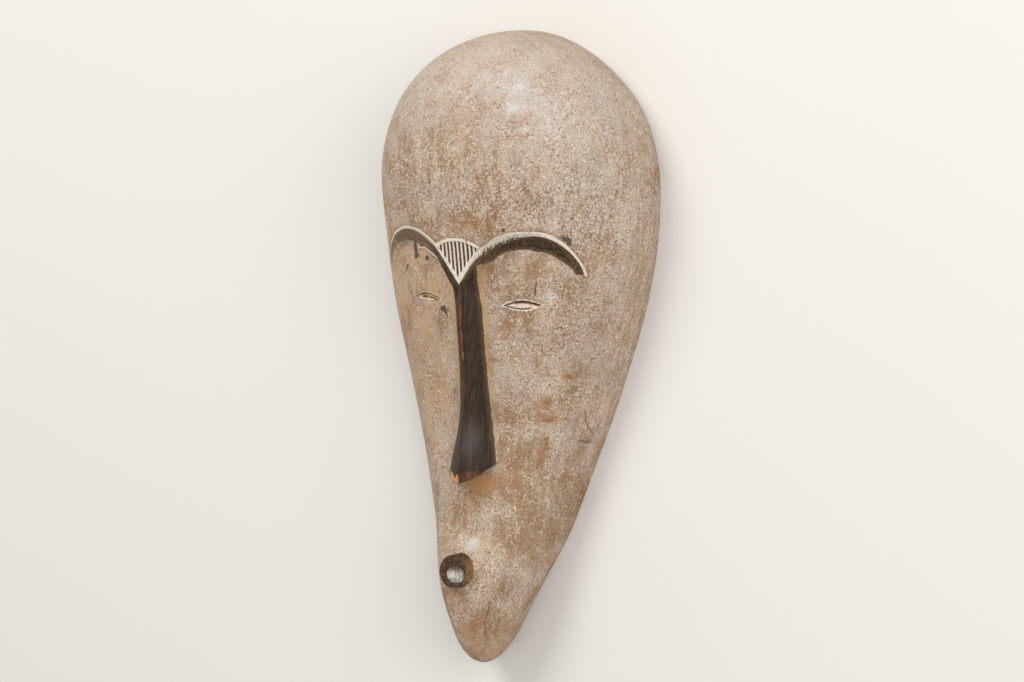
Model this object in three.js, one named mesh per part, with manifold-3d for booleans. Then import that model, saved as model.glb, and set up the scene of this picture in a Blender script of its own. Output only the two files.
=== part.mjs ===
// A long wooden face mask of the ngil kind, carved from one piece and hollow behind.
// Millimetres. It lies on its rim at z = 0: +Y runs from chin to crown and +Z out of the face.
import * as THREE from "three";
import { mergeVertices } from "three/addons/utils/BufferGeometryUtils.js";
import Module from "manifold-3d";

// The outer form. Each station is [y, size]: half the width, and the height of the midline.
const halfLength = 302;
const middleY = -2.7; // the fullest chin lies further in than the crown, so the form's middle is off centre
const halfWidths = [
  [-265, 33],
  [-208, 55],
  [-128, 82],
  [-43, 109.5],
  [47, 132],
  [127, 140],
  [197, 130.5],
  [255, 97],
];
const midHeights = [
  [-269, 75],
  [-218, 88.7],
  [-168, 78],
  [-113, 78.2],
  [-33, 91.7],
  [57, 119.5],
  [107, 133.5],
  [162, 150.8],
  [212, 149.3],
  [259, 126],
];
const endFullness = { chinWidth: 68, crownWidth: 186, chinHeight: 152, crownHeight: 226 };
const profilePower = 2.4; // how squarely the midline meets the rim at crown and chin

// The form draws in towards its rim, and more so round the chin.
const rimDraw = { share: 0.024, height: 35 };
const chinDraw = { from: 153, to: 288, along: 0.06, across: 0.18, height: 16 };

// The hollow behind.
const sideWall = 14;
const faceWall = 16;
const crownWall = 22;
const chinWall = 48;
const wallTaper = 60; // where the form is less wide or high than this, the walls thin out
const hollowGrid = { columns: 20, rows: 30, opening: -5 };

// The brow: a V at the nose root, then on each side an arch of two arcs that meet at its top.
const vTipY = 58;
const vSlope = 1.42;
const vReach = 24.5;
const archTop = { x: 65, y: 107.3 };
const innerArcRadius = 64;
const outerArcRadius = 42.3;
const browSlopeWidth = 11.5;
const vShift = -1.6; // the V sits a little towards the left
const browTilt = 0.03; // the right arch ends a little higher than the left

// How deep the face is cut back under the brow, as [y, depth].
const faceDepths = [
  [-121, 0],
  [-90, 3.2],
  [-60, 5.4],
  [-30, 5.8],
  [5, 6.9],
  [43, 10.6],
  [80, 13.5],
  [107, 14.5],
];

// The nose, from its root under the V to its tip, as [y, size].
const noseRidge = [
  [-125, 99.2],
  [-104, 97.8],
  [-80, 96.8],
  [-57, 98.6],
  [-25, 103.7],
  [2.5, 108.7],
  [25.5, 113.2],
  [44, 116.3],
  [58, 119.2],
];
const noseHalfWidths = [
  [-108, 24.4],
  [-100, 23.6],
  [-86, 21.2],
  [-67, 18.2],
  [-49, 16.6],
  [-25, 15.5],
  [2.5, 14.7],
  [25, 14.4],
  [42, 13.6],
  [56, 10],
  [80, 8],
];
const noseRootY = 78;
const noseFootY = -106;
const noseUndercut = 0.88; // how far the tip hangs over, for each millimetre that it stands proud
const noseRoundness = 1.6;
const noseTip = { leftDrop: 13, from: 68, across: 22, leftSpread: 0.15, rightSpread: -0.05 }; // it is lopsided
const noseBuried = 14; // how deep the nose reaches into the form at its sides
const noseKeel = 20; // and how much deeper in its middle
const noseSkirt = 1.08; // its sides run on past its width by this share, into the face

// The fan of grooves between the brows.
const fanTopY = 99.8;
const fanArcRadius = 46;
const fanBorder = 3;
const groove = { count: 10, pitch: 4.2, width: 2.1, depth: 1.6, middleX: -0.4, shortest: 2 };

// The eyes: shallow almonds.
const eye = { x: 52.2, y: 43, length: 34, height: 8, depth: 2.8, turn: 0.08 };

// The mouth: a short round tube, a little taller than wide, with its hole low and to the right.
const mouth = { x: -1.8, y: -207.4, radius: 15.3, rimRadius: 14.9, tall: 1.04, rise: 11.5, sunk: 14, seat: 1 };
const mouthHole = { x: 2.4, y: -2.6, acrossRadius: 10.6, alongRadius: 8, taper: 0.9, depth: 5.5 };

const wood = new THREE.MeshStandardMaterial({ color: 0xae967c, roughness: 0.86, metalness: 0 });

const manifold = await Module();
manifold.setup();

function smoothStep(from, to, at) {
  const t = Math.min(1, Math.max(0, (at - from) / (to - from)));
  return t * t * (3 - 2 * t);
}

// A smooth curve through [place, size] stations, level with the first and last beyond them.
function through(stations, at) {
  const last = stations.length - 1;
  if (at <= stations[0][0]) return stations[0][1];
  if (at >= stations[last][0]) return stations[last][1];
  let i = 0;
  while (at > stations[i + 1][0]) i++;
  const rise = (k) => (stations[k + 1][1] - stations[k][1]) / (stations[k + 1][0] - stations[k][0]);
  const run = (k) => stations[k + 1][0] - stations[k][0];
  const slope = (k) => {
    if (k === 0) return rise(0);
    if (k === last) return rise(last - 1);
    return (rise(k - 1) * run(k) + rise(k) * run(k - 1)) / (run(k - 1) + run(k));
  };
  const h = run(i);
  const t = (at - stations[i][0]) / h;
  return (
    (2 * t ** 3 - 3 * t ** 2 + 1) * stations[i][1] +
    (t ** 3 - 2 * t ** 2 + t) * h * slope(i) +
    (3 * t ** 2 - 2 * t ** 3) * stations[i + 1][1] +
    (t ** 3 - t ** 2) * h * slope(i + 1)
  );
}

const widthRound = (share) => Math.sqrt(Math.max(0, 1 - share ** 2));
const heightRound = (share) => Math.max(0, 1 - Math.abs(share) ** profilePower) ** (1 / profilePower);

const alongForm = (y) => (y - middleY) / halfLength;

// The stations divided by the rounding of the ends, so that the ends close smoothly.
function fullness(stations, round, chin, crown) {
  const inner = stations.map(([y, size]) => [y, size / round(alongForm(y))]);
  return [[middleY - halfLength, chin], ...inner, [middleY + halfLength, crown]];
}
const widthFullness = fullness(halfWidths, widthRound, endFullness.chinWidth, endFullness.crownWidth);
const heightFullness = fullness(midHeights, heightRound, endFullness.chinHeight, endFullness.crownHeight);

const halfWidth = (y) => through(widthFullness, y) * widthRound(alongForm(y));
const midHeight = (y) => through(heightFullness, y) * heightRound(alongForm(y));
const sectionPower = (y) => 2.03 + 0.3 * smoothStep(57, 257, y) + 0.22 * smoothStep(63, 173, -y);

// The height of an arched section at a share of its half width.
function arch(share, height, power) {
  return height * Math.max(0, 1 - Math.min(1, Math.abs(share)) ** power) ** (1 / power);
}
const outerHeight = (x, y) => arch(x / Math.max(0.01, halfWidth(y)), midHeight(y), sectionPower(y));

const fromV = (x) => Math.abs(x - vShift * (1 - smoothStep(24, 50, Math.abs(x))));
const browLift = (x) => browTilt * x * smoothStep(45, 95, Math.abs(x));

function browLine(x) {
  const ax = fromV(x);
  if (ax < vReach) return vTipY + vSlope * ax;
  const radius = ax < archTop.x ? innerArcRadius : outerArcRadius;
  const dx = Math.min(Math.abs(ax - archTop.x), 0.96 * radius);
  return archTop.y - radius + Math.sqrt(radius ** 2 - dx ** 2) + browLift(x);
}

// How far a place lies below the brow line, measured square to the line.
function belowBrow(x, y) {
  const ax = fromV(x);
  const level = y - browLift(x);
  const belowV = (vTipY + vSlope * ax - level) / Math.hypot(1, vSlope);
  if (ax < vReach) return belowV;
  const radius = ax < archTop.x ? innerArcRadius : outerArcRadius;
  const centreY = archTop.y - radius;
  if (level > centreY) return Math.min(belowV, radius - Math.hypot(ax - archTop.x, level - centreY));
  return ax < archTop.x ? belowV : Math.min(belowV, radius - (ax - archTop.x));
}

const depthAtMiddle = (y) => Math.max(0, through(faceDepths, y));

// How much the face is cut back from the outer form.
function faceCut(x, y) {
  const under = Math.min(1, Math.max(0, belowBrow(x, y) / browSlopeWidth));
  const reach = smoothStep(60, 100, y);
  const share = Math.abs(x) / Math.max(0.01, halfWidth(y));
  const fade = 1 - smoothStep(0.34 + 0.1 * reach, 0.9, share);
  return depthAtMiddle(y) * fade * under;
}
const faceHeight = (x, y) => outerHeight(x, y) - faceCut(x, y);

// A closed form made from a sphere. The function places its front half, and its back half lies flat on baseZ.
function domed(columns, rows, baseZ, place) {
  const form = new THREE.SphereGeometry(1, 2 * columns, rows);
  const position = form.getAttribute("position");
  for (let i = 0; i < position.count; i++) {
    const column = i % (2 * columns + 1);
    const row = Math.floor(i / (2 * columns + 1));
    const front = Math.min(column, 2 * columns - column);
    const onEdge = front === 0 || front === columns || row === 0 || row === rows;
    const onBase = column > columns || onEdge;
    const [x, y, z] = place((2 * front) / columns - 1, row / rows, onBase);
    position.setXYZ(i, x, y, onBase ? baseZ : z);
  }
  return solidOf(form);
}

function solidOf(geometry, matrix = new THREE.Matrix4()) {
  const bare = geometry.clone().applyMatrix4(matrix);
  bare.deleteAttribute("normal");
  bare.deleteAttribute("uv");
  const merged = mergeVertices(bare, 1e-4);
  return new manifold.Manifold(
    new manifold.Mesh({
      numProp: 3,
      vertProperties: merged.getAttribute("position").array,
      triVerts: Uint32Array.from(merged.index.array),
    }),
  );
}

// Rows run from crown to chin. One row follows the brow line and another the foot of its slope.
const bodyGrid = { columns: 36, rows: 54, browRow: 20, footRow: 23 };

function bodyRowY(row, x) {
  const { rows, browRow, footRow } = bodyGrid;
  const top = browLine(x);
  const steep = Math.abs(x) < vReach ? Math.hypot(1, vSlope) : 1.25;
  const foot = top - browSlopeWidth * steep;
  const k = row * rows;
  if (k >= browRow && k <= footRow) return top + ((foot - top) * (k - browRow)) / (footRow - browRow);
  const above = k < browRow;
  const share = above ? k / browRow : (k - footRow) / (rows - footRow);
  const from = above ? Math.PI / 2 : Math.asin(alongForm(foot));
  const to = above ? Math.asin(alongForm(top)) : -Math.PI / 2;
  return middleY + halfLength * Math.sin(from + (to - from) * share);
}

function body() {
  return domed(bodyGrid.columns, bodyGrid.rows, 0, (across, row, onBase) => {
    const share = Math.sin((across * Math.PI) / 2);
    let y = bodyRowY(row, 0);
    for (let pass = 0; pass < 8; pass++) y = (y + bodyRowY(row, share * halfWidth(y))) / 2;
    const x = share * halfWidth(y);
    const shell = onBase ? 0 : outerHeight(x, y);
    const chin = smoothStep(chinDraw.from, chinDraw.to, -y);
    const low = 1 - Math.min(1, shell / (rimDraw.height + chinDraw.height * chin));
    const drawX = 1 - (rimDraw.share + chinDraw.across * chin) * low ** 2;
    const drawY = 1 - (rimDraw.share + chinDraw.along * chin) * low ** 2;
    return [x * drawX, middleY + (y - middleY) * drawY, shell - faceCut(x, y)];
  });
}

// A size less its wall, closing to nothing where the size does.
const lessWall = (size, wall) => size - wall * (1 - (1 - Math.min(1, size / wallTaper)) ** 2);

function hollow() {
  const { columns, rows, opening } = hollowGrid;
  const chinEnd = middleY - halfLength + chinWall;
  const crownEnd = middleY + halfLength - crownWall;
  return domed(columns, rows, opening, (across, row) => {
    const share = Math.sin((across * Math.PI) / 2);
    const outerY = middleY + halfLength * Math.cos(row * Math.PI);
    const y = chinEnd + ((crownEnd - chinEnd) * (alongForm(outerY) + 1)) / 2;
    const floor = midHeight(outerY) - depthAtMiddle(outerY) * (1 - smoothStep(107, 165, outerY));
    const x = share * lessWall(halfWidth(outerY), sideWall);
    return [x, y, arch(share, lessWall(floor, faceWall), sectionPower(outerY))];
  });
}

// The ridge stands proud below the V and runs on inside the forehead above it.
function noseHeight(across, y) {
  const width = through(noseHalfWidths, y);
  const ridge = y > vTipY ? midHeight(y) - 2 : through(noseRidge, y);
  const foot = faceHeight(width, Math.min(y, vTipY - browSlopeWidth));
  return ridge - (ridge - foot) * Math.abs(across) ** noseRoundness;
}

function nose() {
  const form = new THREE.BoxGeometry(1, 1, 1, 14, 18, 1);
  const position = form.getAttribute("position");
  const footZ = faceHeight(0, noseFootY);
  for (let i = 0; i < position.count; i++) {
    const across = 2 * noseSkirt * position.getX(i);
    const down = 0.5 - position.getY(i);
    const top = position.getZ(i) > 0;
    let y = noseRootY + (noseFootY - noseRootY) * down;
    let z = 0;
    for (let pass = 0; pass < 8; pass++) {
      const underside = noseBuried + noseKeel * (1 - Math.abs(across) / noseSkirt);
      z = noseHeight(across, y) - (top ? 0 : underside);
      const endY = noseFootY - noseUndercut * (z - footZ);
      y = noseRootY + (endY - noseRootY) * down;
    }
    const x = across * through(noseHalfWidths, y);
    const atTip = smoothStep(noseTip.from, -noseFootY, -y);
    const drop = noseTip.leftDrop * atTip * Math.min(1, Math.max(0, -x / noseTip.across));
    const spread = 1 + atTip * (x < 0 ? noseTip.leftSpread : noseTip.rightSpread);
    position.setXYZ(i, x * spread, y - drop, z);
  }
  return solidOf(form);
}

function fanGrooves() {
  const slope = Math.atan2(midHeight(fanTopY) - midHeight(vTipY), fanTopY - vTipY);
  const cuts = [];
  for (let k = 0; k < groove.count; k++) {
    const offset = (k - (groove.count - 1) / 2) * groove.pitch;
    const x = groove.middleX + offset;
    const arcDrop = fanArcRadius - Math.sqrt(fanArcRadius ** 2 - (x - vShift) ** 2);
    const top = fanTopY - arcDrop - fanBorder;
    const bottom = browLine(x) + fanBorder * Math.hypot(1, vSlope) - groove.width / 2;
    const length = (top - bottom) / Math.cos(slope);
    if (length < groove.shortest) continue;
    const y = (top + bottom) / 2;
    const tall = 8;
    const bar = new THREE.BoxGeometry(groove.width, length, tall);
    bar.translate(0, 0, tall / 2 - groove.depth);
    bar.rotateX(slope);
    bar.translate(x, y, outerHeight(x, y));
    cuts.push(solidOf(bar));
  }
  return cuts;
}

// A frame that stands on the face at a place, its third axis square to the surface.
function frameOnFace(x, y, turn) {
  const step = 4;
  const slopeX = (faceHeight(x + step, y) - faceHeight(x - step, y)) / (2 * step);
  const slopeY = (faceHeight(x, y + step) - faceHeight(x, y - step)) / (2 * step);
  const up = new THREE.Vector3(-slopeX, -slopeY, 1).normalize();
  const along = new THREE.Vector3(Math.cos(turn), Math.sin(turn), 0).projectOnPlane(up).normalize();
  const side = new THREE.Vector3().crossVectors(up, along);
  return new THREE.Matrix4().makeBasis(along, side, up).setPosition(x, y, faceHeight(x, y));
}

function eyeCut(side) {
  const half = eye.length / 2;
  const outline = new THREE.Shape();
  outline.moveTo(-half, 0);
  outline.quadraticCurveTo(0, eye.height, half, 0);
  outline.quadraticCurveTo(0, -eye.height, -half, 0);
  const almond = new THREE.ExtrudeGeometry(outline, { depth: 10, bevelEnabled: false, curveSegments: 8 });
  almond.translate(0, 0, -eye.depth);
  return solidOf(almond, frameOnFace(side * eye.x, eye.y, side * eye.turn));
}

function mouthTube() {
  const profile = [
    [0, -mouth.sunk],
    [mouth.radius, -mouth.sunk],
    [mouth.radius, 0],
    [mouth.rimRadius, mouth.rise],
    [0, mouth.rise],
  ].map(([radius, height]) => new THREE.Vector2(radius, height));
  const upright = new THREE.Matrix4().makeRotationX(Math.PI / 2);
  const turned = new THREE.LatheGeometry(profile, 28);
  turned.scale(1, 1, mouth.tall);
  const tube = solidOf(turned, upright);
  const boreLength = 2 * mouthHole.depth;
  const bore = new THREE.CylinderGeometry(1, mouthHole.taper, boreLength, 24);
  bore.scale(mouthHole.acrossRadius, 1, mouthHole.alongRadius);
  bore.translate(mouthHole.x, boreLength / 2 + mouth.rise - mouthHole.depth, -mouthHole.y);
  const drilled = tube.subtract(solidOf(bore, upright));
  return drilled.translate([mouth.x, mouth.y, faceHeight(mouth.x, mouth.y) - mouth.seat]);
}

function meshOf(name, solid, material) {
  const { vertProperties, triVerts } = solid.getMesh();
  const geometry = new THREE.BufferGeometry();
  geometry.setAttribute("position", new THREE.BufferAttribute(vertProperties, 3));
  geometry.setIndex(new THREE.BufferAttribute(triVerts, 1));
  geometry.computeVertexNormals();
  const mesh = new THREE.Mesh(geometry, material);
  mesh.name = name;
  return mesh;
}

let carving = body().add(nose()).add(mouthTube()).subtract(hollow());
for (const cut of [...fanGrooves(), eyeCut(-1), eyeCut(1)]) carving = carving.subtract(cut);

const mask = new THREE.Group();
mask.add(meshOf("carved_mask", carving, wood));
export default mask;
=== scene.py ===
import math
from types import SimpleNamespace as Sizes

import bmesh
import bpy
import numpy as np
from mathutils import Matrix, Vector, noise


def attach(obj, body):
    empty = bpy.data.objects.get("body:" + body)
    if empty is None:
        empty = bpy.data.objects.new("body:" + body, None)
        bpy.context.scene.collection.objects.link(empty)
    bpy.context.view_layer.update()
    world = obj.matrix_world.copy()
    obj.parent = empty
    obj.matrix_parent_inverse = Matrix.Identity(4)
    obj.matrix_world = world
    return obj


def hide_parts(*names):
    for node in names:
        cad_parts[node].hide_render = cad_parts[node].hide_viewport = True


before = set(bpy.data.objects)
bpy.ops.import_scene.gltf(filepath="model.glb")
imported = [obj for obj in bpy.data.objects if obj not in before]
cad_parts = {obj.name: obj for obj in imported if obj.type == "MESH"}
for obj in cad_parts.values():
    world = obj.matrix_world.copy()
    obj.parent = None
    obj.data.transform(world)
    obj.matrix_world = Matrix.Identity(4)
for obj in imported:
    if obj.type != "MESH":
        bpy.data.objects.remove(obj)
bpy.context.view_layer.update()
print("frame loaded")

# Sizes are in millimetres and are brought to metres where a mesh is placed.
# +Y runs from chin to crown, +Z out of the face, and the back rim lies at z = 0.
mm = 0.001

form = Sizes(
    halfLength=302,
    middleY=-2.7,
    halfWidths=[(-265, 33), (-208, 55), (-128, 82), (-43, 109.5), (47, 132), (127, 140), (197, 130.5),
                (255, 97)],
    midHeights=[(-269, 75), (-218, 88.7), (-168, 78), (-113, 78.2), (-33, 91.7), (57, 119.5),
                (107, 133.5), (162, 150.8), (212, 149.3), (259, 126)],
    chinWidth=68, crownWidth=186, chinHeight=152, crownHeight=226,
    profilePower=2.4,
    sectionPower=2.03, crownPower=0.3, crownPowerFrom=57, crownPowerTo=257,
    chinPower=0.22, chinPowerFrom=63, chinPowerTo=173,
    rimDraw=0.024, rimDrawHeight=35,
    chinDrawFrom=153, chinDrawTo=288, chinDrawAlong=0.06, chinDrawAcross=0.18, chinDrawHeight=16,
    # the carver's unevenness, the same in each run
    handAmount=0.7, handScale=62, handFullFrom=30, handSeed=3,
)

# the hollow behind: how thick the wall is left, and the marks of the gouge
wall = Sizes(
    side=14, face=16, crown=22, chin=48, rimRound=1.4,
    gougeDepth=1.4, gougeWidth=13, gougeSway=9, swayLength=47, gougeFrom=(6, 30),
    browEnds=(107, 165), fullFrom=60,
)

brow = Sizes(
    tipY=58, slope=1.42, vReach=24.5, vShift=-1.6, vShiftFrom=24, vShiftTo=50,
    tilt=0.03, tiltFrom=45, tiltTo=95,
    topX=65, topY=107.3, innerRadius=64, outerRadius=42.3, slopeWidth=11.5,
    depths=[(-121, 0), (-90, 3.2), (-60, 5.4), (-30, 5.8), (5, 6.9), (43, 10.6), (80, 13.5),
            (107, 14.5)],
    fadeFrom=0.34, fadeRise=0.1, fadeTo=0.9, fadeLow=60, fadeHigh=100,
)

nose = Sizes(
    ridge=[(-125, 99.2), (-104, 97.8), (-80, 96.8), (-57, 98.6), (-25, 103.7), (2.5, 108.7),
           (25.5, 113.2), (44, 116.3), (58, 119.2)],
    halfWidths=[(-108, 24.4), (-100, 23.6), (-86, 21.2), (-67, 18.2), (-49, 16.6), (-25, 15.5),
                (2.5, 14.7), (25, 14.4), (42, 13.6), (56, 10), (80, 8)],
    rootY=78, footY=-106, undercut=0.88, roundness=1.6,
    wallBand=7, settle=40, sideSettle=14,
    leftDrop=13, dropFrom=68, dropAcross=22, leftSpread=0.15, rightSpread=-0.05,
    dropEnds=(27, 44), spreadEnds=(27, 50), tipEnds=(113, 175),
)

fan = Sizes(
    topY=99.8, radius=46, border=3.2, rightBorder=4.4, rightBorderEnd=1.4,
    rightReach=21, sunk=0.7, count=10, pitch=4.2, width=2.2, depth=1.6,
    middleX=-0.4, edge=0.25,
)

eye = Sizes(
    x=52.2, leftX=-50.4, y=43, halfLength=17.5, halfHeight=4.1, turn=0.08, leftTurn=-0.02,
    upperCut=2.0, upperDepth=1.8, lowerCut=1.4, lowerDepth=1.1, sunk=0.5,
)

# painted bands, as distances from the brow line
paint = Sizes(
    rightLineTop=[(2, -4.4), (10, -2.8), (18, -0.9), (24, 0.6), (30, 0.9), (38, -0.4), (48, -1.2),
                  (62, -1.5), (71, -1.6), (78, -2.7), (90, -2.9), (98, -2.2), (104, -1.4)],
    rightLineFoot=[(2, 0.2), (10, 0.7), (17, 1.5), (23, 3.2), (30, 4.2), (41, 4.4), (49, 3.3), (64, 3),
                   (72, 2.1), (79, 1.3), (90, 0.7), (104, 0.4)],
    leftLineTop=[(2, -4.1), (14, -3.1), (21, -2.2), (36, -1.9), (46, -2), (52, -1.6), (62, -1.9),
                 (77, -1.6), (84, -2), (92, -2.1), (102, -1.8)],
    leftLineFoot=[(2, 0), (18, 0.2), (22, 0.6), (26, 2.6), (30, 3.8), (35, 4), (41, 3), (47, 2),
                  (53, 1.4), (63, 1), (77, 0.8), (85, 0), (102, -0.8)],
    topLine=2.8, lowest=74, endsFrom=50, rootFrom=34, browsFrom=40, clear=8,
    teeth=2.4, teethFrom=(0, 6), teethTo=(50, 68),
    rightBand=[(8, 3.5), (16, 4.4), (22, 7.5), (28, 10.6), (34, 11.4), (41, 11.3), (47, 12.3),
               (54, 12.9), (60, 13.8), (66, 15.8), (72, 15.4), (80, 14.4), (86, 13.6), (90, 12),
               (97, 8.3), (104, 5)],
    leftBand=[(8, 8), (16, 13), (22, 14.6), (30, 14.2), (38, 15), (48, 15.5), (60, 14), (66, 12.5),
              (74, 9), (83, 7), (92, 5.5), (104, 3)],
    rightNose=[(30, 14.5), (42, 13.8), (50, 12.3), (56, 11.6), (70, 14.4), (78, 16.5)],
    leftNose=[(30, 14.5), (42, 15), (49, 15.9), (58, 18), (68, 20.5), (78, 24)],
)

# cracks and knocks that are carved into the surface: points, width, depth
cuts = {
    "chinCrack": ([(25.7, -235), (23.7, -243.6), (20.5, -253), (17.4, -268)], 0.62, 0.6),
    "sideCrack": ([(94.6, -52), (93.8, -60), (94.3, -67), (96, -74)], 0.6, 0.6),
    "nickOverEye": ([(66, 64.5), (65.2, 58.5), (64.3, 53)], 0.95, 1.2),
}
paleLine = {"points": [(-62, 88.8), (-51, 89.8), (-43, 85.5), (-35, 80.3)], "width": 0.6}
# broken places at the nose's tip: middle and reach, across and up from the edge
chips = {"left": ((-14.6, 0), (9, 6.5)), "middle": ((-4.6, 0), (2.8, 8))}
chipDepth = 1.6

# where the clay lies thicker (+) or is worn to the wood (-), and on the stained nose where its painted
# highlight lies: x, y, reach across, reach along, amount
clayMarks = [
    (30, 235, 70, 40, 0.45), (110, 150, 40, 90, 0.25), (-20, -260, 20, 30, -0.4),
    (18, -163, 13, 16, 1.25), (6, -182, 10, 9, 1.35), (28, -148, 12, 10, 0.4), (60, 205, 45, 35, 0.3),
    (95, 165, 25, 60, 0.2), (38, -20, 14, 32, 0.5), (58, -70, 16, 22, 0.2), (78, 52, 6, 6, 0.9),
    (-35, 215, 18, 16, 0.3), (0, 118, 40, 12, -0.5), (-60, 160, 30, 40, -0.25), (20, -250, 22, 30, -0.3),
    (-14, -150, 14, 22, -0.45), (40, 75, 30, 12, -0.45), (-30, 128, 8, 6, 0.9), (6, -86, 9, 24, 1),
    (45, 150, 34, 34, -0.42), (50, -120, 40, 75, -0.6), (10, 200, 45, 35, -0.3), (40, 20, 25, 60, -0.2),
    (15, -165, 30, 16, -0.8), (8, 180, 7, 5, 0.75), (16, 196, 5, 4, 0.7), (54, 219, 6, 4, 0.6),
    (54, 238, 5, 5, 0.5), (67, 200, 5, 3, 0.6), (57, 125, 7, 4, 0.6), (41, 146, 6, 4, 0.6),
    (17, 149, 5, 5, 0.7),
]
# rust and ochre on the clay, and bare wood along the nose's ridge
rustMarks = [
    (0, 106, 22, 4, 0.5), (3, -125, 15, 9, 1.5), (15, -125, 11, 10, 1.2), (8, -140, 11, 9, 0.6),
    (-58, 20, 38, 70, 0.2), (10, -265, 30, 30, 0.38), (-95, 130, 25, 70, 0.25), (12, 112, 26, 5, 0.7),
    (87, -19.5, 5, 3.4, 1.1), (69.5, -45.5, 4.5, 7, 1.1), (67, -62, 6, 4, 1), (74, -59, 4, 4, 0.7),
    (66.5, -83, 2.8, 10, 1.1), (60.5, -100, 3, 9, 0.9), (33.5, 11, 1.6, 13, 0.5),
    (11, -266, 14, 14, 0.42), (4, -286, 16, 10, 0.65), (-8, -229, 14, 5, 0.6), (-30, 112, 12, 5, 0.4),
    (62, 45, 6, 3, 0.3), (0, 140, 60, 18, 0.2), (-1.5, 6, 1.6, 14, 0.9), (-1.2, -8, 1.2, 3, 0.8),
    (-1, -35, 1.8, 20, 0.55), (-2, 38, 3, 22, 0.55),
]
sootMarks = [
    (91, -80, 6, 3, 0.5), (-29.5, 34.4, 4.2, 1.5, 1.3), (-25.5, 32.6, 2.4, 1.9, 1.2),
    (-27.5, 29.8, 1.5, 1.4, 0.9), (-64.5, 89, 2, 7, 1.2), (-63, 80.5, 2.7, 2.2, 1.3),
    (-55, 91, 3, 1.6, 1), (-49, 80.5, 2.3, 2.3, 1.2), (-56.5, 82, 1.6, 0.9, 0.8),
    (-38.5, 81, 2.2, 0.9, 0.8), (-77.5, 71, 1.9, 1.7, 1.2), (46.8, 109.3, 1.5, 2.2, 0.9),
    (95.4, 106, 4, 3, 0.66), (98.2, 102, 2.4, 3.4, 0.66), (101, 77, 3.5, 3.5, 0.35),
    (92, 40, 1.4, 2, 0.7), (11, 107, 0.9, 2.4, 0.9),
]

mouth = Sizes(
    x=-1.8, y=-207.4, radius=15.3, rimRadius=14.9, rise=11.5, seat=1, tall=1.04,
    holeX=2.4, holeY=-2.6, holeAcross=10.6, holeAlong=8, taper=0.9, holeDepth=5.5,
    floorBand=6.5, holeBand=10, rimBand=14, wallBand=20.5, reach=33,
    dish=0.6, lip=0.7, lipWidth=0.9, roundness=0.8,
)

# the flat sheets that are shaped into the mask, and how far around each detail they are divided finer
sheet = Sizes(
    across=104, along=230, hollowAcross=36, browRow=0.405, footRow=0.423,
    aboveBrow=8, belowBrow=17, browFoot=38, browReach=112,
    besideNose=4, noseTop=80, underNose=16, aroundCut=3.5, aroundPaleLine=3,
    aroundFan=8, aroundEye=1.2, insideMouthReach=8, aroundMouth=1, weld=0.02,
)
steepSide = 1.25      # how much steeper than its width the brow's slope runs at the arches
farAway = 40          # a distance that stands for far inside, or with a minus for far outside


def smoothStep(start, end, at):
    t = np.clip((at - start) / (end - start), 0, 1)
    return t * t * (3 - 2 * t)


# a smooth curve through (place, size) stations
def through(stations, at):
    places, sizes = (np.array(column, float) for column in zip(*stations))
    runs = np.diff(places)
    rises = np.diff(sizes) / runs
    slopes = np.empty_like(sizes)
    slopes[0], slopes[-1] = rises[0], rises[-1]
    slopes[1:-1] = (rises[:-1] * runs[1:] + rises[1:] * runs[:-1]) / (runs[1:] + runs[:-1])
    at = np.clip(at, places[0], places[-1])
    i = np.clip(np.searchsorted(places, at, side="right") - 1, 0, len(runs) - 1)
    t = (at - places[i]) / runs[i]
    return ((2 * t**3 - 3 * t**2 + 1) * sizes[i] + (t**3 - 2 * t**2 + t) * runs[i] * slopes[i]
            + (3 * t**2 - 2 * t**3) * sizes[i + 1] + (t**3 - t**2) * runs[i] * slopes[i + 1])


def alongForm(y):
    return np.clip((y - form.middleY) / form.halfLength, -1, 1)


def widthRound(share):
    return np.sqrt(np.clip(1 - share**2, 0, 1))


def heightRound(share):
    power = form.profilePower
    return np.clip(1 - np.abs(share) ** power, 0, 1) ** (1 / power)


def fullness(stations, rounding, chin, crown):
    inner = [(y, size / float(rounding(alongForm(y)))) for y, size in stations]
    low, high = form.middleY - form.halfLength, form.middleY + form.halfLength
    return [(low, chin)] + inner + [(high, crown)]


widthFullness = fullness(form.halfWidths, widthRound, form.chinWidth, form.crownWidth)
heightFullness = fullness(form.midHeights, heightRound, form.chinHeight, form.crownHeight)


def halfWidth(y):
    return through(widthFullness, y) * widthRound(alongForm(y))


def midHeight(y):
    return through(heightFullness, y) * heightRound(alongForm(y))


def sectionPower(y):
    atCrown = form.crownPower * smoothStep(form.crownPowerFrom, form.crownPowerTo, y)
    atChin = form.chinPower * smoothStep(form.chinPowerFrom, form.chinPowerTo, -y)
    return form.sectionPower + atCrown + atChin


def arch(share, height, power):
    return height * np.clip(1 - np.clip(np.abs(share), 0, 1) ** power, 0, 1) ** (1 / power)


def outerHeight(x, y):
    return arch(x / np.maximum(0.01, halfWidth(y)), midHeight(y), sectionPower(y))


def fromV(x):
    return np.abs(x - brow.vShift * (1 - smoothStep(brow.vShiftFrom, brow.vShiftTo, np.abs(x))))


def browLift(x):
    return brow.tilt * x * smoothStep(brow.tiltFrom, brow.tiltTo, np.abs(x))


def browLine(x):
    ax = fromV(x)
    radius = np.where(ax < brow.topX, brow.innerRadius, brow.outerRadius)
    dx = np.minimum(np.abs(ax - brow.topX), 0.96 * radius)
    onArch = brow.topY - radius + np.sqrt(radius**2 - dx**2) + browLift(x)
    return np.where(ax < brow.vReach, brow.tipY + brow.slope * ax, onArch)


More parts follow.
